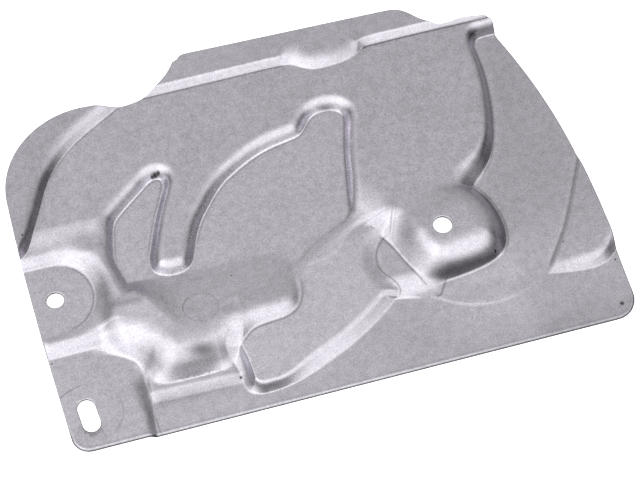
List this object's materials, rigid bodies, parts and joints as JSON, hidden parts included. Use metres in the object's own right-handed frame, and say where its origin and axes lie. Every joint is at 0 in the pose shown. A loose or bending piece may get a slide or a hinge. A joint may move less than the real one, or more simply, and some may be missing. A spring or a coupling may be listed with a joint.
{
  "type": "starter heat shield",
  "caption": "Flat pressed steel engine-bay shield with a raised bulge, a bolt boss, sunken pockets, round bolt holes and an adjusting slot.",
  "frame": {"origin": "centre of the part's bounding box in X and Y, at the level of the underside of the low border strip", "axes": "+X along the long straight bottom edge, +Y across the sheet towards the raised flange, +Z out of the raised face"},
  "size_m": [0.2909, 0.204, 0.0178],
  "materials": {
    "sheet": "dull aluminised mill finish, fine speckle, lightly scratched"
  },
  "bodies": {
    "root": {"shield": "sheet"}
  },
  "joints": []
}
